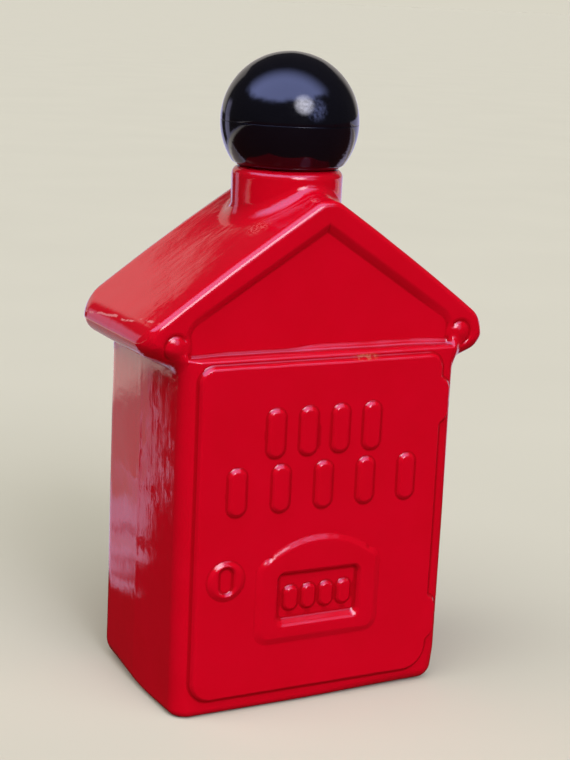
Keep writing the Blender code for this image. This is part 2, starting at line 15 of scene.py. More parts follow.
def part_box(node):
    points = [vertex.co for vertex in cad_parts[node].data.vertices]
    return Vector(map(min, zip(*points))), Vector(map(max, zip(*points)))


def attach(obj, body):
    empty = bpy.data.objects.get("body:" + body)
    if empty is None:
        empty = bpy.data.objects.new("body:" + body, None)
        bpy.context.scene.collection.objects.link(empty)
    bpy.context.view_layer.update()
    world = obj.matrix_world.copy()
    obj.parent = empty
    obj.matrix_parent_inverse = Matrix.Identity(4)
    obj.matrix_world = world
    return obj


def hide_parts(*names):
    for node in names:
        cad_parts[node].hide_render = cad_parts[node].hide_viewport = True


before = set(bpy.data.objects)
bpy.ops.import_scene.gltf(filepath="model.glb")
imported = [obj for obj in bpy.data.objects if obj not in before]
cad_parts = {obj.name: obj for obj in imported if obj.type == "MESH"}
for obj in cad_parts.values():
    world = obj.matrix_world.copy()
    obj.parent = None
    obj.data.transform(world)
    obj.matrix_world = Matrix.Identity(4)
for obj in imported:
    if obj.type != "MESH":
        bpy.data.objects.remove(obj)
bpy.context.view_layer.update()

MM = 0.001


def node_box(name):
    """Lowest and highest corner of a CAD node, in millimetres."""
    return [np.array(corner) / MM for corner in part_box(name)]


# Sizes that the frame gives, in millimetres. Everything below is measured from the neck's axis, which
# stands at NECK_Y in the frame.
bottle_box = node_box("glass_bottle")
ball_box = node_box("cap_upper_shell")
NECK_Y = (ball_box[0][1] + ball_box[1][1]) / 2
REACH = bottle_box[1][0]
BACK = bottle_box[1][1] - NECK_Y
FRONT = -BACK
NECK_TOP = bottle_box[1][2]
BALL_RADIUS = ball_box[1][0]
BALL_CENTRE = ball_box[1][2] - BALL_RADIUS
CAP_BOTTOM = node_box("cap_lower_shell")[0][2]

# Body block
HALF_WIDTH = 29.0
SIDE_DRAFT = 0.7  # how far the sides lean in from the mould seam to the front and back
SIDE_BLEND = 4.0  # how softly the two leaning halves of a side meet
SEAM_HEIGHT = 0.025
SEAM_WIDTH = 0.45
SILL_HEIGHT = 69.55
SILL_RISE = 0.16  # slope of the sill's top over its first SILL_RISE_DEPTH
SILL_RISE_DEPTH = 2.0
SILL_EDGE = 0.45
FRONT_CORNERS = (3.6, 2.3)  # left and right
CORNER_LOSS = 1.3  # how much tighter the right front corner gets from CORNER_LOSS_FROM up to the sill
CORNER_LOSS_FROM = 65.0
CORNER_GAIN = 1.4  # how much wider it gets below CORNER_GAIN_FROM
CORNER_GAIN_FROM = 8.0
BACK_CORNER = 5.3
BASE_ROUND = 1.6
BASE_RIGHT_GAIN = 1.2  # how much wider the base's rounding gets to the right, and at the back left
BASE_BACK_GAIN = 2.4
BASE_RIM = 5.0
BASE_RIM_CORNER = 2.5
BASE_RECESS = 0.9
BASE_STEP = 1.4

# Gabled head
ROOF_SLOPES = (0.677, 0.698)  # left and right
ROOF_CROSSING = 99.6
RIGHT_ROOF_LIFT = 0.3
ROOF_CROWN = 0.48  # how far a roof side swells, most at ROOF_CROWN_AT from the middle
ROOF_CROWN_AT = 18.0
RIDGE_ROUND = 3.1
EAVE_ROUNDS = (2.2, 3.4)
EAVE_BACK_CORNER = 9.5
EAVE_TURN_LIMIT = 0.85  # share of that corner after which the side runs on straight
UNDER_FOOT = 66.6
UNDER_TILT = 0.85  # the left eave's foot is higher than the right one's by twice this
UNDER_RISE = 0.4
UNDER_ROUNDS = (2.3, 3.0)
HEAD_SETBACK = 1.4
RAKE_EDGE = 1.3
RAKE_DROP = 0.6  # how far the roof dips towards the pediment
RAKE_DROP_FROM = 13.0
EAVE_FRONT_EDGES = (5.0, 3.4)
EDGE_BLEND = 6.0
HEAD_FILLET = 2.3  # hollow where the head meets the body, tighter by the three losses below
FILLET_BACK_LOSS = 1.0
FILLET_SILL_LOSS = 1.9
FILLET_LEFT_LOSS = 0.7
LEAST_FILLET = 0.4
POCKET_CROWN = 93.3
POCKET_SLOPES = (0.628, 0.652)
POCKET_HALF = 28.2
POCKET_DEPTH = 0.95
POCKET_STEP = 1.9
POCKET_CORNER = 2.0
POCKET_END_LOSS = 0.4  # share of the pocket's depth lost towards its two ends
SCROLL_X = 30.3
SCROLL_Z = 72.1
SCROLL_REACH = 2.4
SCROLL_CORNER = 1.0
SCROLL_EYE = 1.2
SCROLL_EYE_HEIGHT = 0.38
SCROLL_EYE_STEP = 1.8
GROOVE_RADIUS = 2.35
GROOVE_TIGHTENING = 0.35  # how much the scroll's groove closes in over half a turn
GROOVE_WIDTH = 0.42
GROOVE_DEPTH = 0.28
GROOVE_ENDS = (-100, 165)  # degrees up from straight outwards

# Collar and neck
COLLAR_RADIUS = 10.8
COLLAR_TOP = 102.7
COLLAR_ROUND = 1.7
COLLAR_FILLET = 2.3
NECK_RADIUS = 5.8
NECK_EDGE = 0.6
BORE_RADIUS = 3.6
THREAD_START = 105.0
THREAD_PITCH = 3.2
THREAD_TURNS = 1.25
THREAD_DEPTH = 0.9
THREAD_FOOT = 0.75
THREAD_CREST = 0.3
THREAD_FADE = 0.06  # share of a turn over which the thread starts and ends

# Relief on the front. An outline is left, right, bottom, top; a row is a count, an outline and the width
# of one upright. A STEP is the width of the soft edge round a height.
DOOR = (-26.2, 25.6, 3.4, 68.4)
DOOR_CORNERS = (3.0, 4.0, 5.0)  # both top ones, bottom left and bottom right
DOOR_HEIGHT = 0.9
DOOR_STEP = 0.95
KNUCKLE_REACH = 1.9
KNUCKLE_ROOT = 6.0
KNUCKLE_LENGTH = 8.8
KNUCKLE_CORNER = 2.2
KNUCKLE_FILLET = 0.8
KNUCKLE_BOTTOMS = (9.6, 54.6)
PLAQUE = (-12.9, 12.9, 13.9, 30.2)
PLAQUE_CORNER = 2.3
PLAQUE_ARCH_HALF = 10.2
PLAQUE_ARCH_RISE = 3.2
PLAQUE_ARCH_LIFT = 0.6
PLAQUE_ARCH_EDGE = 0.8
PLAQUE_FILLET = 0.7
PLAQUE_HEIGHT = 0.47
PLAQUE_STEP = 1.7
WINDOW = (-8.8, 8.8, 17.4, 27.3)
WINDOW_CORNER = 1.3
WINDOW_DEPTH = 1.0
WINDOW_STEP = 1.2
LEDGE_STEP = 1.0  # how much wider the window's soft edge is along the bottom
RIBS = (4, -7.2, 7.2, 19.8, 24.4, 2.8)
RIB_HEIGHT = 0.65
RIB_STEP = 0.8
BAR_ROWS = ((4, -12.3, 11.7, 50.7, 59.7, 3.4), (5, -20.0, 20.0, 40.0, 48.8, 3.4))
BAR_HEIGHT = 0.6
BAR_STEP = 1.0
BAR_END = 0.45  # corner radius of an upright as a share of its width
KEYHOLE = (-19.9, 27.3)
KEYHOLE_PLATE = 3.5
KEYHOLE_HEIGHT = 0.55
KEYHOLE_STEP = 1.3
KEYHOLE_SLOT = (1.6, 2.7)
KEYHOLE_DEPTH = 0.6
SLOT_STEP = 0.8

# Slow unevenness of the mould: wavelengths, and the height as a share of each
RIPPLE_LENGTHS = (34, 27, 21, 17, 13, 11, 9, 7.5)
RIPPLE_SHARE = 0.0008

# Mesh detail
START_VOXEL = 1.1
FINEST_EDGE = 0.2
BEND_LIMIT = math.radians(9)
GAP_LIMIT = 0.012
ON_SKIN = 0.03  # corners this near the skin take its normal
SHARP_INSIDE = math.radians(35)
SHARP_TURNED = math.radians(32)


# --- Rounded solids as distances -------------------------------------------------------------------


def round_max(a, b, radius):
    """Common part of two solids, its meeting edge rounded."""
    return np.minimum(-radius, np.maximum(a, b)) + np.hypot(
        np.maximum(radius + a, 0), np.maximum(radius + b, 0))


def round_min(a, b, radius):
    """Two solids as one, with a hollow fillet where they meet."""
    return np.maximum(radius, np.minimum(a, b)) - np.hypot(
        np.maximum(radius - a, 0), np.maximum(radius - b, 0))


def smooth(t):
    t = np.clip(t, 0, 1)
    return t * t * (3 - 2 * t)


def ramp(distance, width):
    """1 inside an outline and 0 outside it, with a soft step of that width across it."""
    return smooth(0.5 - distance / width)


def rounded_box(x, z, box, radius):
    """Distance to a rectangle (left, right, bottom, top) with round corners."""
    left, right, bottom, top = box
    dx = np.abs(x - (left + right) / 2) - (right - left) / 2 + radius
    dz = np.abs(z - (bottom + top) / 2) - (top - bottom) / 2 + radius
    return np.hypot(np.maximum(dx, 0), np.maximum(dz, 0)) + np.minimum(np.maximum(dx, dz), 0) - radius


def door_outline(x, z):
    top, bottom_left, bottom_right = DOOR_CORNERS
    radius = np.where(z > SILL_HEIGHT / 2, top, np.where(x < 0, bottom_left, bottom_right))
    door = rounded_box(x, z, DOOR, radius)
    right = DOOR[1]
    for bottom in KNUCKLE_BOTTOMS:
        knuckle = (right - KNUCKLE_ROOT, right + KNUCKLE_REACH, bottom, bottom + KNUCKLE_LENGTH)
        door = round_min(door, rounded_box(x, z, knuckle, KNUCKLE_CORNER), KNUCKLE_FILLET)
    return door


def plaque_outline(x, z):
    plate = rounded_box(x, z, PLAQUE, PLAQUE_CORNER)
    middle = (PLAQUE[2] + PLAQUE[3]) / 2
    radius = (PLAQUE_ARCH_HALF**2 + PLAQUE_ARCH_RISE**2) / (2 * PLAQUE_ARCH_RISE)
    arch = np.hypot(x, z - (PLAQUE[3] + PLAQUE_ARCH_LIFT + PLAQUE_ARCH_RISE - radius)) - radius
    arch = round_max(arch, np.abs(x) - PLAQUE_ARCH_HALF - PLAQUE_ARCH_EDGE / 2, PLAQUE_ARCH_EDGE)
    arch = np.maximum(arch, middle - z)
    return round_min(plate, arch, PLAQUE_FILLET)


def uprights(x, z, row):
    """Distance to the nearest of a row of round-ended upright bars."""
    count, left, right, bottom, top, width = row
    pitch = (right - left - width) / (count - 1)
    index = np.clip(np.round((x - left - width / 2) / pitch), 0, count - 1)
    centre = left + width / 2 + pitch * index
    return rounded_box(x - centre, z, (-width / 2, width / 2, bottom, top), width * BAR_END)


def front_relief(x, z):
    """How far the front stands out of its plane, for everything moulded on it."""
    height = DOOR_HEIGHT * ramp(door_outline(x, z), DOOR_STEP)
    height += PLAQUE_HEIGHT * ramp(plaque_outline(x, z), PLAQUE_STEP)
    window_step = WINDOW_STEP + LEDGE_STEP * smooth((WINDOW[2] + 2.5 - z) / 3)
    height -= WINDOW_DEPTH * ramp(rounded_box(x, z, WINDOW, WINDOW_CORNER), window_step)
    height += RIB_HEIGHT * ramp(uprights(x, z, RIBS), RIB_STEP)
    for row in BAR_ROWS:
        height += BAR_HEIGHT * ramp(uprights(x, z, row), BAR_STEP)
    across, up = KEYHOLE
    from_keyhole = np.hypot(x - across, z - up)
    height += KEYHOLE_HEIGHT * ramp(from_keyhole - KEYHOLE_PLATE, KEYHOLE_STEP)
    wide, tall = KEYHOLE_SLOT
    slot = (across - wide, across + wide, up - tall, up + tall)
    height -= KEYHOLE_DEPTH * ramp(rounded_box(x, z, slot, wide), SLOT_STEP)
    return height


def head_relief(x, z):
    """Pediment pocket and scrolls: how far the head's front stands out of its plane."""
    across = np.abs(x)
    slope = np.where(x < 0, *POCKET_SLOPES)
    band = (z - POCKET_CROWN + slope * across) / np.hypot(1, slope)
    from_scroll = np.hypot(across - SCROLL_X, z - SCROLL_Z)
    pocket = round_max(band, across - POCKET_HALF, POCKET_CORNER)
    pocket = round_max(pocket, SCROLL_REACH - from_scroll, SCROLL_CORNER)
    angle = np.degrees(np.arctan2(z - SCROLL_Z, across - SCROLL_X))
    groove_radius = GROOVE_RADIUS - GROOVE_TIGHTENING * angle / 180
    first, last = GROOVE_ENDS
    turn = smooth((angle - first) / 50) * smooth((last - angle) / 40)
    groove = np.exp(-(((from_scroll - groove_radius) / GROOVE_WIDTH) ** 2)) * turn
    shallow = 1 - POCKET_END_LOSS * smooth((across - 19) / 9)
    height = -POCKET_DEPTH * shallow * ramp(pocket, POCKET_STEP)
    height -= GROOVE_DEPTH * groove
    height += SCROLL_EYE_HEIGHT * ramp(from_scroll - SCROLL_EYE, SCROLL_EYE_STEP)
    return height


def seam(y):
    """Fine ridge where the two mould halves met, half way back."""
    return SEAM_HEIGHT * np.exp(-((y / SEAM_WIDTH) ** 2))


def body_block(x, y, z):
    """Body walls, front and sill, open at the back and the base."""
    side = np.abs(x) - HALF_WIDTH - SIDE_DRAFT * (1 - np.hypot(y, SIDE_BLEND) / BACK) - seam(y)
    front = FRONT - front_relief(x, z) - y
    left, right = FRONT_CORNERS
    right = right - CORNER_LOSS * smooth((z - CORNER_LOSS_FROM) / (SILL_HEIGHT - CORNER_LOSS_FROM))
    right = right + CORNER_GAIN * smooth((CORNER_GAIN_FROM - z) / CORNER_GAIN_FROM)
    sill = z - SILL_HEIGHT - SILL_RISE * np.minimum(y - FRONT, SILL_RISE_DEPTH)
    return round_max(round_max(side, front, np.where(x < 0, left, right)), sill, SILL_EDGE)


def eave_side(across, y):
    """Side of the eaves, with a wide round corner at each back end."""
    turn = np.clip((y - BACK + EAVE_BACK_CORNER) / EAVE_BACK_CORNER, 0, EAVE_TURN_LIMIT)
    inset = EAVE_BACK_CORNER * (1 - np.sqrt(1 - turn**2))
    beyond = np.maximum(y - BACK + EAVE_BACK_CORNER * (1 - EAVE_TURN_LIMIT), 0)
    tilt = turn / np.sqrt(1 - turn**2)
    return (across - REACH + inset + beyond * tilt) / np.hypot(1, tilt) - seam(y)


def head_block(x, y, z):
    """Gabled head with its pediment, open at the back."""
    across = np.abs(x)
    left_slope, right_slope = ROOF_SLOPES
    crown = ROOF_CROWN * (1 - ((across - ROOF_CROWN_AT) / ROOF_CROWN_AT) ** 2)
    crown = crown - RAKE_DROP * np.maximum(1 + (FRONT - y) / RAKE_DROP_FROM, 0) ** 2
    right = z - ROOF_CROSSING - RIGHT_ROOF_LIFT - crown + right_slope * x
    right = right / math.hypot(1, right_slope)
    left = (z - ROOF_CROSSING - crown - left_slope * x) / math.hypot(1, left_slope)
    roof = round_max(right, left, RIDGE_ROUND)
    side = eave_side(across, y)
    gable = round_max(roof, side, np.where(x < 0, *EAVE_ROUNDS))
    foot = UNDER_FOOT - UNDER_TILT * np.clip(x / HALF_WIDTH, -1, 1)
    under = foot + UNDER_RISE * (across - HALF_WIDTH) - z
    gable = round_max(gable, under / math.hypot(1, UNDER_RISE), np.where(x < 0, *UNDER_ROUNDS))
    front = FRONT + HEAD_SETBACK - head_relief(x, z) - y
    edge = np.where(x < 0, *EAVE_FRONT_EDGES) - RAKE_EDGE
    edge = RAKE_EDGE + edge * smooth(0.5 + (side - roof) / EDGE_BLEND)
    return round_max(gable, front, edge)


def neck_solid(x, y, z):
    from_axis = np.hypot(x, y)
    turn = np.mod(np.arctan2(y, x), math.tau) / math.tau
    ridge = np.zeros_like(x)
    for lap in range(2):
        along = turn + lap
        off_ridge = np.abs(z - THREAD_START - THREAD_PITCH * along)
        profile = smooth((THREAD_FOOT - off_ridge) / (THREAD_FOOT - THREAD_CREST))
        ends = smooth(along / THREAD_FADE) * smooth((THREAD_TURNS - along) / THREAD_FADE)
        ridge = np.maximum(ridge, profile * ends)
    return round_max(from_axis - NECK_RADIUS - THREAD_DEPTH * ridge, z - NECK_TOP, NECK_EDGE)


def ripples(points):
    """Waves in random directions, the same every time."""
    dice = np.random.default_rng(11)
    height = np.zeros(len(points))
    for length in RIPPLE_LENGTHS:
        direction = dice.normal(size=3)
        direction *= math.tau / length / np.linalg.norm(direction)
        height += RIPPLE_SHARE * length * np.sin(points @ direction + dice.uniform(0, math.tau))
    return height


def skin(points):
    """Outside of the glass: negative in it, positive in the air."""
    x, y, z = points.T
    at_sill = smooth(1 - (y - FRONT) / 4) * smooth((HALF_WIDTH - 0.3 - np.abs(x)) / 1.5)
    hollow = HEAD_FILLET - FILLET_BACK_LOSS * smooth((y - FRONT - 3) / 5) - FILLET_SILL_LOSS * at_sill
    hollow = np.maximum(hollow - FILLET_LEFT_LOSS * smooth(-x / 8), LEAST_FILLET)
    solid = round_min(body_block(x, y, z), head_block(x, y, z), hollow)
    solid = round_max(solid, y - BACK, BACK_CORNER)
    collar = round_max(np.hypot(x, y) - COLLAR_RADIUS, z - COLLAR_TOP, COLLAR_ROUND)
    solid = round_min(solid, collar, COLLAR_FILLET)
    rim = round_max(np.abs(x) - HALF_WIDTH, np.abs(y) - BACK, BASE_RIM_CORNER) + BASE_RIM
    edge = BASE_ROUND + BASE_RIGHT_GAIN * smooth((x + 5) / 30)
    edge = edge + BASE_BACK_GAIN * smooth((y + 8) / 24) * smooth(-x / 20)
    solid = round_max(solid, BASE_RECESS * ramp(rim, BASE_STEP) - z, edge)
    return np.minimum(solid, neck_solid(x, y, z)) - ripples(points) * smooth(z / 6)


def slope_of(points, step=0.02):
    """Direction in which the distance grows, by central differences."""
    slopes = np.empty_like(points)
    for axis in range(3):
        shift = np.zeros(3)
        shift[axis] = step
        slopes[:, axis] = (skin(points + shift) - skin(points - shift)) / (2 * step)
    return slopes


def pull_to_skin(points, rounds=5, reach=0.6):
    for _ in range(rounds):
        slopes = slope_of(points)
        size = np.maximum((slopes**2).sum(1), 0.05)
        move = slopes * (skin(points) / size)[:, None]
        length = np.linalg.norm(move, axis=1)
        move *= np.minimum(1, reach / np.maximum(length, 1e-9))[:, None]
        points = points - move
    return points


# --- Mesh making -----------------------------------------------------------------------------------


def link(piece):
    bpy.context.scene.collection.objects.link(piece)
    return piece


def points_of(mesh):
    flat = np.empty(len(mesh.vertices) * 3)
    mesh.vertices.foreach_get("co", flat)
    return flat.reshape(-1, 3) / MM


def set_points(mesh, points):
    mesh.vertices.foreach_set("co", (points * MM).ravel())
    mesh.update()


def prism(name, outline, near, far):
    """Solid between two planes across Y, from (x, z) corners."""
    shape = bmesh.new()
    face = shape.faces.new([shape.verts.new((x * MM, near * MM, z * MM)) for x, z in outline])
    moved = bmesh.ops.extrude_face_region(shape, geom=[face])["geom"]
    verts = [part for part in moved if isinstance(part, bmesh.types.BMVert)]
    bmesh.ops.translate(shape, verts=verts, vec=(0, (far - near) * MM, 0))
    bmesh.ops.recalc_face_normals(shape, faces=shape.faces)
    return finish_shape(name, shape)


def post(name, radius, low, high, steps=48):
    shape = bmesh.new()
    bmesh.ops.create_cone(shape, cap_ends=True, segments=steps, radius1=radius * MM, radius2=radius * MM,
                          depth=(high - low) * MM, matrix=Matrix.Translation((0, 0, (low + high) / 2 * MM)))
    return finish_shape(name, shape)


def finish_shape(name, shape):
    mesh = bpy.data.meshes.new(name)
    shape.to_mesh(mesh)
    shape.free()
    return link(bpy.data.objects.new(name, mesh))


def rectangle(left, right, bottom, top):
    return [(left, bottom), (right, bottom), (right, top), (left, top)]


def gable_outline(reach, foot, shoulder, crown):
    return [(-reach, foot), (reach, foot), (reach, shoulder), (0, crown), (-reach, shoulder)]


def modify(piece, kind, **settings):
    """Adds a modifier and applies it at once."""
    step = piece.modifiers.new(kind, kind)
    for key, value in settings.items():
        setattr(step, key, value)
    graph = bpy.context.evaluated_depsgraph_get()
    mesh = bpy.data.meshes.new_from_object(piece.evaluated_get(graph))
    piece.modifiers.clear()
    old = piece.data
    piece.data = mesh
    bpy.data.meshes.remove(old)
    return piece


def combine(piece, tool, operation):
    modify(piece, "BOOLEAN", operation=operation, object=tool, solver="MANIFOLD")
    bpy.data.objects.remove(tool, do_unlink=True)


def bends(mesh, points, normals):
    """Which edges are too coarse for the skin under them, and are still long enough to split."""
    ends = np.empty(len(mesh.edges) * 2, np.int64)
    mesh.edges.foreach_get("vertices", ends)
    ends = ends.reshape(-1, 2)
    first, last = points[ends[:, 0]], points[ends[:, 1]]
    length = np.linalg.norm(last - first, axis=1)
    turn = np.einsum("ij,ij->i", normals[ends[:, 0]], normals[ends[:, 1]]) < math.cos(BEND_LIMIT)
    off = np.abs(skin((first + last) / 2)) > GAP_LIMIT
    return (length > 2 * FINEST_EDGE) & (turn | off)


def refine(piece):
    """Splits the faces where the skin bends, and pulls the new corners onto it."""
    mesh = piece.data
    points = points_of(mesh)
    normals = slope_of(points)
    normals /= np.maximum(np.linalg.norm(normals, axis=1), 1e-6)[:, None]
    coarse = bends(mesh, points, normals)
    shape = bmesh.new()
    shape.from_mesh(mesh)
    shape.edges.ensure_lookup_table()
    chosen = set()
    for index in np.flatnonzero(coarse):
        for face in shape.edges[index].link_faces:
            chosen.update(face.edges)
    bmesh.ops.subdivide_edges(shape, edges=list(chosen), cuts=1, use_grid_fill=True)
    shape.to_mesh(mesh)
    shape.free()
    set_points(mesh, pull_to_skin(points_of(mesh)))
    return int(coarse.sum())


def relax(piece, rounds=3):
    """Evens out the mesh along the skin."""
    mesh = piece.data
    ends = np.empty(len(mesh.edges) * 2, np.int64)
    mesh.edges.foreach_get("vertices", ends)
    ends = ends.reshape(-1, 2)
    points = points_of(mesh)
    count = np.bincount(ends.ravel(), minlength=len(points))[:, None]
    for _ in range(rounds):
        total = np.zeros_like(points)
        np.add.at(total, ends[:, 0], points[ends[:, 1]])
        np.add.at(total, ends[:, 1], points[ends[:, 0]])
        move = total / count - points
        normals = slope_of(points)
        normals /= np.maximum(np.linalg.norm(normals, axis=1), 1e-6)[:, None]
        move -= normals * np.einsum("ij,ij->i", move, normals)[:, None]
        points = pull_to_skin(points + 0.6 * move, rounds=2)
    set_points(mesh, points)


def triangulate(piece):
    shape = bmesh.new()
    shape.from_mesh(piece.data)
    bmesh.ops.triangulate(shape, faces=shape.faces)
    shape.to_mesh(piece.data)
    shape.free()


def skin_normals(piece):
    """Gives the outside faces the true normals of the skin; inside faces are shaded by angle."""
    mesh = piece.data
    mesh.shade_smooth()
    mesh.set_sharp_from_angle(angle=SHARP_INSIDE)
    points = points_of(mesh)
    slopes = slope_of(points)
    slopes /= np.maximum(np.linalg.norm(slopes, axis=1), 1e-6)[:, None]
    on_skin = np.abs(skin(points)) < ON_SKIN
    corners = np.empty(len(mesh.loops), np.int64)
    mesh.loops.foreach_get("vertex_index", corners)
    normals = np.empty(len(mesh.loops) * 3)
    mesh.corner_normals.foreach_get("vector", normals)
    normals = normals.reshape(-1, 3)
    face_normals = np.empty(len(mesh.polygons) * 3)
    mesh.polygons.foreach_get("normal", face_normals)
    totals = np.empty(len(mesh.polygons), np.int64)
    mesh.polygons.foreach_get("loop_total", totals)
    face_normals = np.repeat(face_normals.reshape(-1, 3), totals, axis=0)
    agree = np.einsum("ij,ij->i", face_normals, slopes[corners]) > 0.75
    use = on_skin[corners] & agree
    normals[use] = slopes[corners][use]
    mesh.normals_split_custom_set(normals)


def curvature(points, step=0.35):
    """Positive on crests and negative in hollows."""
    total = -6 * skin(points)
    for axis in range(3):
        shift = np.zeros(3)
        shift[axis] = step
        total += skin(points + shift) + skin(points - shift)
    return total / step**2


# Curvature at the bottle's corners; the red lacquer turns it into painted shade in the hollows
def add_curvature(mesh):
    layer = mesh.attributes.new("curvature", "FLOAT", "POINT")
    layer.data.foreach_set("value", curvature(points_of(mesh)).astype(np.float32))


def bottle_inside():
    """Hollow of the bottle: body, head and bore in one solid. The first line is the glass thickness."""
    side, front, back, floor, roof, eave = 3.2, 3.3, 3.2, 4.2, 4.4, 8.4
    body_bevel, head_bevel, overlap, bore_foot = 2.5, 2.0, 3, 82.4
    half = HALF_WIDTH - side
    inside = prism("inside", rectangle(-half, half, floor, UNDER_FOOT), FRONT + front, BACK - back)
    modify(inside, "BEVEL", width=body_bevel * MM, segments=3)
    near = FRONT + HEAD_SETBACK + POCKET_DEPTH + front
    slope = max(ROOF_SLOPES)
    crown = ROOF_CROSSING - roof * math.hypot(1, slope)
    reach = REACH - eave
    outline = [(-half + 0.1, UNDER_FOOT - overlap), (half - 0.1, UNDER_FOOT - overlap),
               (reach, crown - slope * reach), (0, crown), (-reach, crown - slope * reach)]
    head = prism("head_inside", outline, near, BACK - back - 0.1)
    modify(head, "BEVEL", width=head_bevel * MM, segments=3)
    combine(inside, head, "UNION")
    combine(inside, post("bore", BORE_RADIUS, bore_foot, NECK_TOP + 1, 96), "UNION")
    return inside


def build_bottle():
    """Starts from plain blocks near the skin, then pulls their mesh onto it."""
    eave_foot, ridge_drop, post_foot = 69.0, 1.5, 84
    body = prism("bottle", rectangle(-HALF_WIDTH, HALF_WIDTH, 0, SILL_HEIGHT), FRONT, BACK)
    eave = ROOF_CROSSING - ROOF_SLOPES[0] * REACH
    combine(body, prism("head", gable_outline(REACH, eave_foot, eave, ROOF_CROSSING - ridge_drop),
                        FRONT + HEAD_SETBACK, BACK), "UNION")
    combine(body, post("collar", COLLAR_RADIUS, post_foot, COLLAR_TOP), "UNION")
    combine(body, post("neck", NECK_RADIUS, post_foot, NECK_TOP), "UNION")
    modify(body, "REMESH", mode="VOXEL", voxel_size=START_VOXEL * MM)
    set_points(body.data, pull_to_skin(points_of(body.data), rounds=10))
    relax(body)
    for _ in range(4):
        if not refine(body):
            break
    triangulate(body)
    combine(body, bottle_inside(), "DIFFERENCE")
    skin_normals(body)
    add_curvature(body.data)
    return body


def turned(name, profile, steps):
    """Closed solid of revolution about the neck axis, from a closed (radius, height) outline."""
    shape = bmesh.new()
    verts = [shape.verts.new((radius * MM, 0, height * MM)) for radius, height in profile]
    edges = [shape.edges.new(pair) for pair in zip(verts, verts[1:])]
    if profile[0][0] > 0 or profile[-1][0] > 0:
        edges.append(shape.edges.new((verts[-1], verts[0])))
    bmesh.ops.spin(shape, geom=verts + edges, cent=(0, 0, 0), axis=(0, 0, 1), angle=math.tau,
                   steps=steps, use_merge=True)
    bmesh.ops.remove_doubles(shape, verts=shape.verts, dist=1e-6)
    bmesh.ops.recalc_face_normals(shape, faces=shape.faces)
    piece = finish_shape(name, shape)
    piece.data.shade_smooth()
    piece.data.set_sharp_from_angle(angle=SHARP_TURNED)
    return piece


def arc(centre, radius, first, last, steps):
    """Points on an arc in the (radius, height) plane, angles in degrees up from the horizontal."""
    angles = [math.radians(first + (last - first) * step / steps) for step in range(steps + 1)]
    return [(centre[0] + radius * math.cos(a), centre[1] + radius * math.sin(a)) for a in angles]


# --- Cap shells ------------------------------------------------------------------------------------

CAP_STEPS = 144
CAP_WALL = 1.8
SEAM_GAP = 0.04
SEAM_ROUND = 0.05
LAP_WALL = 0.75
LAP_DEPTH = 2.2
LAP_AIR = 0.3
LAP_LIP = 0.6
DOME_INSET = 0.2
SLEEVE_TOP = 110.0
SLEEVE_INSIDE = 8.6
SLEEVE_WALL = 1.0
FOOT_GAP = 0.1  # between the cap and the collar's top
FOOT_WALL = 1.6
MOUTH_RADIUS = 9.7
MOUTH_RISE = 0.7
MOUTH_EDGE = (0.3, 0.1)
KEY_LENGTH = 4.0
KEY_WIDTH = 1.8
KEY_CUT = (3.0, 0.5, 2.0)  # depth of the slot's cutter, how far out its middle is, how far it overshoots


def build_upper_shell():
    inner = BALL_RADIUS - CAP_WALL
    centre = (0, BALL_CENTRE)
    edge = (BALL_RADIUS - SEAM_ROUND, BALL_CENTRE + SEAM_GAP / 2 + SEAM_ROUND)
    lap = BALL_RADIUS - LAP_WALL - LAP_AIR
    start = math.degrees(SEAM_GAP / 2 + SEAM_ROUND) / BALL_RADIUS
    profile = [(0, BALL_CENTRE + BALL_RADIUS)]
    profile += arc(centre, BALL_RADIUS, 90, start, 44)[1:]
    profile += arc(edge, SEAM_ROUND, 0, -90, 4)[1:]
    profile += [(lap, BALL_CENTRE + SEAM_GAP / 2), (lap, BALL_CENTRE - LAP_DEPTH + LAP_AIR)]
    profile += [(inner - LAP_LIP, BALL_CENTRE - LAP_DEPTH + LAP_AIR), (inner - LAP_LIP, BALL_CENTRE)]
    profile += arc(centre, inner - DOME_INSET, 12, 90, 16)[:-1]
    profile += [(0, BALL_CENTRE + inner - DOME_INSET)]
    return turned("cap_ball_top", profile, CAP_STEPS)


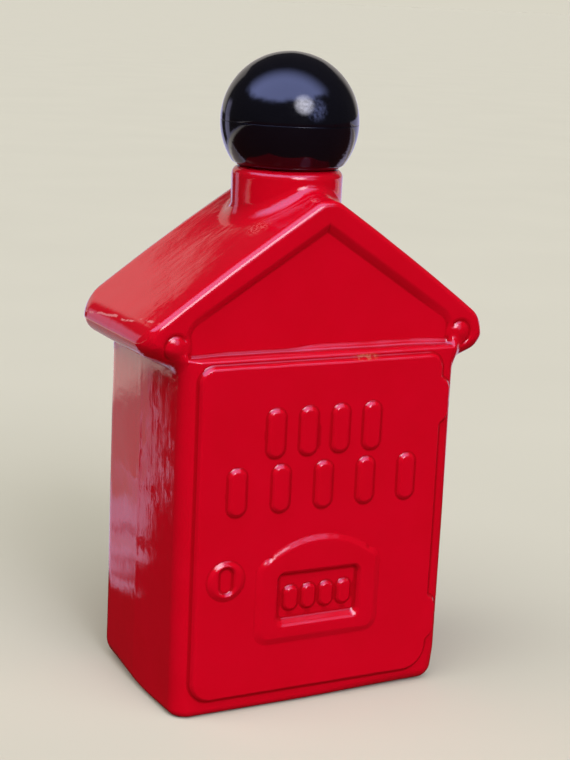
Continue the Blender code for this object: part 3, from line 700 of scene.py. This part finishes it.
def build_lower_shell():
    inner = BALL_RADIUS - CAP_WALL
    centre = (0, BALL_CENTRE)
    edge = (BALL_RADIUS - SEAM_ROUND, BALL_CENTRE - SEAM_GAP / 2 - SEAM_ROUND)
    start = math.degrees(SEAM_GAP / 2 + SEAM_ROUND) / BALL_RADIUS
    foot = COLLAR_TOP + FOOT_GAP
    mouth = -math.degrees(math.asin((BALL_CENTRE - foot - MOUTH_RISE) / BALL_RADIUS))
    floor = CAP_BOTTOM + FOOT_WALL
    sleeve_outside = SLEEVE_INSIDE + SLEEVE_WALL
    inner_floor = -math.degrees(math.asin((BALL_CENTRE - floor) / inner))
    lap = BALL_RADIUS - LAP_WALL
    profile = [(lap, BALL_CENTRE - SEAM_GAP / 2)]
    profile += arc(edge, SEAM_ROUND, 90, 0, 4)
    profile += arc(centre, BALL_RADIUS, -start, mouth, 24)[1:]
    profile += [(MOUTH_RADIUS + MOUTH_EDGE[0], foot + MOUTH_EDGE[1]), (MOUTH_RADIUS, foot)]
    profile += [(SLEEVE_INSIDE, foot), (SLEEVE_INSIDE, SLEEVE_TOP), (sleeve_outside, SLEEVE_TOP)]
    profile += [(sleeve_outside, floor)]
    profile += arc(centre, inner, inner_floor, -12, 10)
    profile += [(lap, BALL_CENTRE - LAP_DEPTH)]
    shell = turned("cap_ball_base", profile, CAP_STEPS)
    depth, out, overshoot = KEY_CUT
    height = SLEEVE_TOP - KEY_LENGTH - LAP_AIR + (KEY_LENGTH + overshoot) / 2
    for quarter in range(4):
        shape = bmesh.new()
        bmesh.ops.create_cube(shape, size=MM)
        bmesh.ops.scale(shape, verts=shape.verts, vec=(depth, KEY_WIDTH, KEY_LENGTH + overshoot))
        turn = Matrix.Rotation(math.tau * quarter / 4, 4, "Z")
        shape.transform(turn @ Matrix.Translation(((SLEEVE_INSIDE + out) * MM, 0, height * MM)))
        combine(shell, finish_shape("key_slot", shape), "DIFFERENCE")
    shell.data.shade_smooth()
    shell.data.set_sharp_from_angle(angle=SHARP_TURNED)
    return shell


# --- Materials -------------------------------------------------------------------------------------


class Finish:
    """One procedural material, with short ways to add and join its nodes. Lengths are millimetres."""

    def __init__(self, name):
        self.material = bpy.data.materials.new(name)
        self.material.use_nodes = True
        self.tree = self.material.node_tree
        self.shader = self.tree.nodes["Principled BSDF"]
        place = self.tree.nodes.new("ShaderNodeTexCoord").outputs["Object"]
        place = self.vector("SCALE", place, scale=1 / MM)
        self.place = self.vector("SUBTRACT", place, (0, NECK_Y, 0))

    def put(self, socket, value):
        if isinstance(value, bpy.types.NodeSocket):
            self.tree.links.new(value, socket)
        elif isinstance(value, (tuple, list)) and len(value) == 3 and socket.type == "RGBA":
            socket.default_value = (*value, 1.0)
        else:
            socket.default_value = value

    def set(self, **values):
        for key, value in values.items():
            self.put(self.shader.inputs[key.replace("_", " ")], value)

    def node(self, kind, inputs, **settings):
        made = self.tree.nodes.new("ShaderNode" + kind)
        for key, value in settings.items():
            setattr(made, key, value)
        for key, value in inputs.items():
            self.put(made.inputs[key], value)
        return made

    def vector(self, operation, first, second=None, scale=None):
        inputs = {0: first}
        if second is not None:
            inputs[1] = second
        if scale is not None:
            inputs["Scale"] = scale
        made = self.node("VectorMath", inputs, operation=operation)
        return made.outputs["Value" if operation == "LENGTH" else "Vector"]

    def math(self, operation, first, second=0.0):
        return self.node("Math", {0: first, 1: second}, operation=operation).outputs[0]

    def between(self, value, low, high, start=0.0, end=1.0):
        """Smooth step of a value: start at or below low, end at or above high."""
        inputs = {"Value": value, "From Min": low, "From Max": high, "To Min": start, "To Max": end}
        return self.node("MapRange", inputs, interpolation_type="SMOOTHSTEP").outputs["Result"]

    def noise(self, size, detail=2.0, roughness=0.5, place=None):
        """Cloudy value from 0 to 1 whose patches are about size across."""
        inputs = {"Vector": place or self.place, "Scale": 1 / size, "Detail": detail,
                  "Roughness": roughness}
        return self.node("TexNoise", inputs).outputs["Fac"]

    def cells(self, size):
        """Distance to the middle of the nearest of many cells about size across."""
        return self.node("TexVoronoi", {"Vector": self.place, "Scale": 1 / size}).outputs["Distance"]

    def colour(self, factor, first, second):
        made = self.node("Mix", {}, data_type="RGBA")
        self.put(made.inputs["Factor"], factor)
        self.put(made.inputs[6], first)
        self.put(made.inputs[7], second)
        return made.outputs[2]

    def near(self, point, radius, soft, stretch=(1, 1, 1)):
        """1 within a radius of a point and 0 beyond it, with a soft edge."""
        offset = self.vector("SUBTRACT", self.place, point)
        offset = self.vector("MULTIPLY", offset, stretch)
        return self.between(self.vector("LENGTH", offset), radius - soft, radius + soft, 1.0, 0.0)

    def bump(self, height, depth, normal=None):
        """Normal from a height of 0 to 1 that stands for a depth in millimetres."""
        inputs = {"Height": height, "Distance": depth * MM, "Strength": 1.0}
        if normal is not None:
            inputs["Normal"] = normal
        return self.node("Bump", inputs).outputs["Normal"]


WEAR_SPOT = (8.2, FRONT, 68.7)
SCUFFS = (((-10.3, -10.3, 91.5), 2.6, 1.2), ((-3.2, -5.6, 96.3), 3.2, 1.4))  # centre, radius, soft edge
CREASE_LEVEL = 74.9  # height of the crease along the left eave at the middle; it falls to the back
CREASE_FALL = 0.085
CREASE_WANDER = 2.0


def red_lacquer():
    """Glossy red with painted shade in the hollows, worn at the sill, scuffed on the roof and creased at the
    eave.
    """
    finish = Finish("red_lacquer")
    curve = finish.node("Attribute", {}, attribute_name="curvature").outputs["Fac"]
    clouds = finish.noise(9.0, detail=3.0)
    base = finish.colour(clouds, (0.535, 0.0006, 0.009), (0.60, 0.0006, 0.014))
    # painted shade: the red darkens where the skin curves inwards, in hollows and fillets
    hollow = finish.between(curve, -0.25, -1.4)
    base = finish.colour(hollow, base, (0.40, 0.0004, 0.006))
    wear = finish.near(WEAR_SPOT, 2.4, 1.2, (1, 0.4, 4.0))
    grain = finish.noise(0.9, detail=4.0)
    wear = finish.math("MULTIPLY", wear, finish.between(grain, 0.42, 0.60))
    base = finish.colour(finish.math("MULTIPLY", wear, 0.42), base, (0.42, 0.16, 0.06))
    scuffs = finish.math("MAXIMUM", *(finish.near(*scuff) for scuff in SCUFFS))
    scratch = finish.noise(0.45, detail=5.0, roughness=0.7)
    scuffs = finish.math("MULTIPLY", scuffs, finish.between(scratch, 0.47, 0.60))
    base = finish.colour(finish.math("MULTIPLY", scuffs, 0.35), base, (0.75, 0.22, 0.22))
    axes = finish.node("SeparateXYZ", {"Vector": finish.place}).outputs
    wander = finish.math("SUBTRACT", finish.noise(8.0, detail=4.0), 0.5)
    wander = finish.math("MULTIPLY", wander, CREASE_WANDER)
    level = finish.math("ADD", finish.math("MULTIPLY", axes["Y"], CREASE_FALL), axes["Z"])
    level = finish.math("ADD", finish.math("SUBTRACT", level, CREASE_LEVEL), wander)
    level = finish.math("ABSOLUTE", level)
    crease = finish.between(level, 0.08, 0.26, 1.0, 0.0)
    crease = finish.math("MULTIPLY", crease, finish.between(axes["X"], -33.0, -34.5))
    crease = finish.math("MULTIPLY", crease, finish.between(axes["Y"], 15.0, 13.0))
    crease = finish.math("MULTIPLY", crease, finish.between(finish.noise(2.6), 0.38, 0.52))
    base = finish.colour(finish.math("MULTIPLY", crease, 0.5), base, (0.80, 0.36, 0.36))
    rough = finish.between(finish.noise(3.0, detail=4.0), 0.3, 0.75, 0.055, 0.12)
    rough = finish.math("ADD", rough, finish.math("MULTIPLY", crease, 0.3))
    rough = finish.math("ADD", rough, finish.math("MULTIPLY", scuffs, 0.35))
    rough = finish.math("ADD", rough, finish.math("MULTIPLY", wear, 0.35))
    along = finish.vector("MULTIPLY", finish.place, (0.14, 1.0, 0.14))
    normal = finish.bump(finish.noise(11.0, detail=2.0), 0.10)
    normal = finish.bump(finish.noise(2.4, detail=2.0), 0.028, normal)
    normal = finish.bump(finish.noise(1.7, detail=3.0, place=along), 0.022, normal)
    normal = finish.bump(finish.noise(0.5, detail=2.0), 0.0025, normal)
    finish.set(Base_Color=base, Roughness=rough, Normal=normal, IOR=1.5)
    return finish.material


def black_gloss():
    finish = Finish("black_gloss_plastic")
    clouds = finish.noise(6.0, detail=3.0)
    base = finish.colour(clouds, (0.0018, 0.0018, 0.0036), (0.0038, 0.0038, 0.0062))
    stretched = finish.vector("MULTIPLY", finish.place, (0.25, 0.8, 1.6))
    streaks = finish.noise(0.6, detail=6.0, roughness=0.75, place=stretched)
    rough = finish.between(streaks, 0.35, 0.75, 0.06, 0.16)
    normal = finish.bump(finish.noise(4.0, detail=2.0), 0.012)
    normal = finish.bump(streaks, 0.0008, normal)
    finish.set(Base_Color=base, Roughness=rough, Normal=normal, IOR=1.5)
    return finish.material


def natural_plastic():
    finish = Finish("natural_polyethylene")
    base = finish.colour(finish.noise(1.5, detail=3.0), (0.74, 0.74, 0.70), (0.84, 0.84, 0.80))
    rough = finish.between(finish.noise(0.8, detail=3.0), 0.3, 0.7, 0.32, 0.45)
    finish.set(Base_Color=base, Roughness=rough, Subsurface_Weight=0.3, Subsurface_Scale=0.8 * MM,
               Normal=finish.bump(finish.noise(0.4), 0.004))
    return finish.material


def liner_foam():
    finish = Finish("liner_foam")
    pores = finish.cells(0.22)
    base = finish.colour(pores, (0.70, 0.70, 0.67), (0.88, 0.88, 0.85))
    finish.set(Base_Color=base, Roughness=0.85, Normal=finish.bump(pores, 0.03))
    return finish.material


def satin_closure():
    finish = Finish("black_closure_plastic")
    base = finish.colour(finish.noise(2.0, detail=3.0), (0.016, 0.016, 0.018), (0.028, 0.028, 0.031))
    rough = finish.between(finish.noise(0.7, detail=4.0), 0.3, 0.7, 0.28, 0.42)
    finish.set(Base_Color=base, Roughness=rough, Normal=finish.bump(finish.noise(0.25), 0.003))
    return finish.material


def label_paper():
    finish = Finish("label_paper")
    fibres = finish.noise(0.35, detail=6.0, roughness=0.7)
    age = finish.noise(12.0, detail=3.0)
    base = finish.colour(age, (0.80, 0.77, 0.68), (0.86, 0.84, 0.78))
    base = finish.colour(finish.math("MULTIPLY", fibres, 0.3), base, (0.70, 0.66, 0.56))
    finish.set(Base_Color=base, Roughness=0.75, Normal=finish.bump(fibres, 0.015))
    return finish.material


def paint(piece, material):
    piece.data.materials.clear()
    piece.data.materials.append(material)


def repaint(node, material):
    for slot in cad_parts[node].material_slots:
        slot.material = material


# --- Stage, light and camera -----------------------------------------------------------------------

FLOOR_SIZE = 40.0
FLOOR_COLOUR = (0.57, 0.55, 0.45)
BOUNCE_COLOUR = (0.27, 0.17, 0.15)
BACKDROP_COLOUR = (0.694, 0.665, 0.565)

# What the gloss mirrors. Directions are azimuth from the front towards +X and elevation, in degrees.
DARK_ROOM = (0.05, 0.045, 0.05)
PALE_WALL = (0.62, 0.57, 0.54)
LILAC_WALL = (0.62, 0.60, 0.92)
SKY_BRIGHT = 2.5
SKY_TINT = (0.85, 1.0, 2.1)
SKY_SIDE = (-37.0, 0.0)
GLOW_BRIGHT = 2.0
LOW_GLOW = (19.0, 23.0)
SPOT_TINT = (11.5, 11.5, 13.5)
BRIGHT_SPOT = (-2.0, 31.0)
SIDE_FILL = 0.35

# Mirrored floor, from the bottle backwards: where each band starts and is full, in mm, and its colour
NEAR_FLOOR = (0.07, 0.02, 0.015)
LILAC_BAND = (55.0, 90.0, (0.85, 0.76, 1.10))
TAN_BAND = (100.0, 150.0, (0.54, 0.44, 0.45))
PALE_BAND = (225.0, 262.0, (1.3, 1.2, 1.1))
FAR_BAND = (312.0, 330.0, (0.75, 0.72, 1.10))
DARK_BAND = (362.0, 384.0, (0.05, 0.04, 0.04))
BAND_BEND = 0.06  # how fast the two near bands run away from the bottle towards its front
SIGHT_SLOPE = 2.36  # depth over width of the sight lines that the left side mirrors
PATCHES = 190.0
FAR_PATCHES = 0.35

# Camera: direction it looks from and its roll in degrees, place in metres, lens for a 36 mm sensor
CAMERA_AZIMUTH = -27.86
CAMERA_ELEVATION = 12.82
CAMERA_ROLL = 2.67
CAMERA_PLACE = Vector((-0.1516, -0.2898 + NECK_Y * MM, 0.1347))
CAMERA_LENS = 79.74


def mirrored_floor(finish):
    """Colour of the floor as the gloss sees it: bands across it with ragged, streaky edges."""
    axes = finish.node("SeparateXYZ", {"Vector": finish.place}).outputs
    across, depth = axes["X"], axes["Y"]
    turned_place = finish.node("VectorRotate", {"Vector": finish.place, "Angle": math.radians(28)},
                               rotation_type="Z_AXIS").outputs["Vector"]
    streaks = finish.vector("MULTIPLY", turned_place, (0.07, 0.011, 1))
    patches = finish.math("SUBTRACT", finish.noise(1.0, detail=2.0, place=streaks), 0.5)
    patches = finish.math("MULTIPLY", patches, PATCHES)
    distance = finish.math("ADD", depth, finish.math("MULTIPLY", patches, FAR_PATCHES))
    slant = finish.math("MULTIPLY", finish.math("ADD", across, HALF_WIDTH), SIGHT_SLOPE)
    slant = finish.math("MINIMUM", finish.math("ADD", depth, slant), 0.0)
    bend = finish.math("MULTIPLY", finish.math("MULTIPLY", slant, slant), BAND_BEND)
    near = finish.math("SUBTRACT", finish.math("ADD", depth, patches), bend)
    bearing = finish.math("DIVIDE", across, finish.math("MAXIMUM", depth, 1.0))
    aside = finish.math("MAXIMUM", finish.between(bearing, -0.64, -0.70),
                        finish.between(bearing, -0.38, -0.32))
    left = finish.between(across, -60.0, -20.0, 1.0, 0.0)
    seen = NEAR_FLOOR
    for value, (start, full, colour) in ((near, LILAC_BAND), (near, TAN_BAND), (distance, PALE_BAND),
                                         (distance, FAR_BAND)):
        seen = finish.colour(finish.between(value, start, full), seen, colour)
    start, full, colour = DARK_BAND
    dark = finish.math("MULTIPLY", finish.between(distance, start, full), left)
    return finish.colour(finish.math("MULTIPLY", dark, aside), seen, colour)


def build_floor():
    """Pale floor for the camera; diffuse light bounces off a browner one and the gloss mirrors bands."""
    shape = bmesh.new()
    bmesh.ops.create_grid(shape, x_segments=2, y_segments=2, size=FLOOR_SIZE)
    floor = finish_shape("floor", shape)
    finish = Finish("pale_floor")
    lighter = tuple(c * 1.06 for c in FLOOR_COLOUR)
    finish.set(Base_Color=finish.colour(finish.noise(90.0, detail=2.0), FLOOR_COLOUR, lighter),
               Roughness=0.9, Specular_IOR_Level=0.0)
    mirrored = finish.node("Emission", {"Color": mirrored_floor(finish)}).outputs[0]
    bounced = finish.node("BsdfDiffuse", {"Color": BOUNCE_COLOUR}).outputs[0]
    surface = finish.shader.outputs[0]
    paths = finish.node("LightPath", {}).outputs
    for ray, other in (("Is Diffuse Ray", bounced), ("Is Glossy Ray", mirrored)):
        surface = finish.node("MixShader", {0: paths[ray], 1: surface, 2: other}).outputs[0]
    finish.put(finish.tree.nodes["Material Output"].inputs["Surface"], surface)
    paint(floor, finish.material)
    floor.location.z = -0.0001


def aim(azimuth, elevation):
    """Unit vector; azimuth 0 is straight out from the door and grows towards +X."""
    azimuth, elevation = math.radians(azimuth), math.radians(elevation)
    return (math.sin(azimuth) * math.cos(elevation), -math.cos(azimuth) * math.cos(elevation),
            math.sin(elevation))


def build_sky():
    """Plain backdrop for the camera; the gloss mirrors walls, a high sky, a low glow and a bright spot."""
    world = bpy.data.worlds.new("soft_studio")
    bpy.context.scene.world = world
    world.use_nodes = True
    tree = world.node_tree
    tree.nodes.clear()

    def add(kind, inputs, **settings):
        made = tree.nodes.new("ShaderNode" + kind)
        for key, value in settings.items():
            setattr(made, key, value)
        for key, value in inputs.items():
            if isinstance(value, bpy.types.NodeSocket):
                tree.links.new(value, made.inputs[key])
            else:
                made.inputs[key].default_value = value
        return made

    def step(value, low, high):
        inputs = {"Value": value, "From Min": low, "From Max": high}
        return add("MapRange", inputs, interpolation_type="SMOOTHSTEP").outputs["Result"]

    def blend(factor, first, second):
        return add("Mix", {0: factor, 6: first, 7: second}, data_type="RGBA").outputs[2]

    def lobe(ray, direction, inner, outer):
        """1 within an angle (degrees) of a direction, fading to 0 at a wider one."""
        dot = add("VectorMath", {0: ray, 1: direction}, operation="DOT_PRODUCT").outputs["Value"]
        return step(dot, math.cos(math.radians(outer)), math.cos(math.radians(inner)))

    def product(first, second):
        return add("Math", {0: first, 1: second}, operation="MULTIPLY").outputs[0]

    def total(first, second):
        return add("Math", {0: first, 1: second}, operation="ADD").outputs[0]

    def scaled(colour, factor):
        return add("VectorMath", {0: colour, "Scale": factor}, operation="SCALE").outputs[0]

    def plus(first, second):
        return add("VectorMath", {0: first, 1: second}, operation="ADD").outputs[0]

    ray = add("TexCoord", {}).outputs["Generated"]
    axes = add("SeparateXYZ", {"Vector": ray})
    across, depth, up = (axes.outputs[name] for name in "XYZ")
    paths = add("LightPath", {}).outputs
    ragged = add("TexNoise", {"Vector": ray, "Scale": 5.0, "Detail": 4.0}).outputs["Fac"]
    leafy = add("TexNoise", {"Vector": ray, "Scale": 14.0, "Detail": 3.0}).outputs["Fac"]
    up = total(up, product(ragged, 0.16))

    pale = product(step(depth, 0.35, 0.60), step(total(across, product(depth, 0.22)), -0.06, 0.06))
    pale = product(pale, step(up, 0.57, 0.52))
    seen = blend(pale, (*DARK_ROOM, 1), (*PALE_WALL, 1))
    left = product(step(total(across, product(depth, 0.30)), 0.02, -0.05),
                   step(total(across, product(depth, 0.64)), -0.05, 0.05))
    left = product(product(left, step(depth, 0.45, 0.62)), step(up, 0.30, 0.22))
    seen = blend(left, seen, (*LILAC_WALL, 1))

    high = step(total(up, product(step(across, -0.3, -0.8), 0.10)), 0.66, 0.80)
    high = product(high, lobe(ray, aim(*SKY_SIDE), 72, 104))
    low = product(lobe(ray, aim(*LOW_GLOW), 4, 22), step(leafy, 0.30, 0.70))
    bright = total(product(high, SKY_BRIGHT), product(low, GLOW_BRIGHT))
    sky = blend(paths["Is Glossy Ray"], (1.0, 1.0, 1.0, 1), (*SKY_TINT, 1))
    seen = plus(seen, scaled(sky, bright))
    spot = product(lobe(ray, aim(*BRIGHT_SPOT), 0, 19), total(product(leafy, 1.6), 0.1))
    seen = plus(seen, scaled(SPOT_TINT, spot))
    fill = product(product(step(across, -0.3, -0.75), paths["Is Diffuse Ray"]), SIDE_FILL)
    seen = blend(paths["Is Camera Ray"], plus(seen, fill), (*BACKDROP_COLOUR, 1))
    light = add("Background", {"Color": seen, "Strength": 1.0})
    add("OutputWorld", {"Surface": light.outputs[0]})


def build_camera():
    back = Vector(aim(CAMERA_AZIMUTH, CAMERA_ELEVATION))
    level = Vector((0, 0, 1)).cross(back).normalized()
    upright = back.cross(level)
    roll = math.radians(CAMERA_ROLL)
    right = math.cos(roll) * level + math.sin(roll) * upright
    up = -math.sin(roll) * level + math.cos(roll) * upright
    camera = link(bpy.data.objects.new("camera", bpy.data.cameras.new("camera")))
    turn = Matrix((right, up, back)).transposed().to_4x4()
    camera.matrix_world = Matrix.Translation(CAMERA_PLACE) @ turn
    camera.data.lens = CAMERA_LENS
    camera.data.sensor_width = 36.0
    camera.data.clip_start = 0.01
    bpy.context.scene.camera = camera


# --- Put together ----------------------------------------------------------------------------------


def place(piece, body, nodes, slot, material):
    piece.data.transform(Matrix.Translation((0, NECK_Y * MM, 0)))
    paint(piece, material)
    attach(piece, body)
    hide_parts(*nodes)


place(build_bottle(), "bottle", ["glass_bottle"], "lacquered_glass", red_lacquer())
gloss = black_gloss()
place(build_upper_shell(), "cap", ["cap_upper_shell"], "cap_plastic", gloss)
place(build_lower_shell(), "cap", ["cap_lower_shell"], "cap_plastic", gloss)
repaint("pour_plug", natural_plastic())
repaint("cap_liner", liner_foam())
repaint("cap_thread_insert", satin_closure())
repaint("base_label", label_paper())
build_floor()
build_sky()
build_camera()
bpy.context.scene.view_settings.view_transform = "Standard"
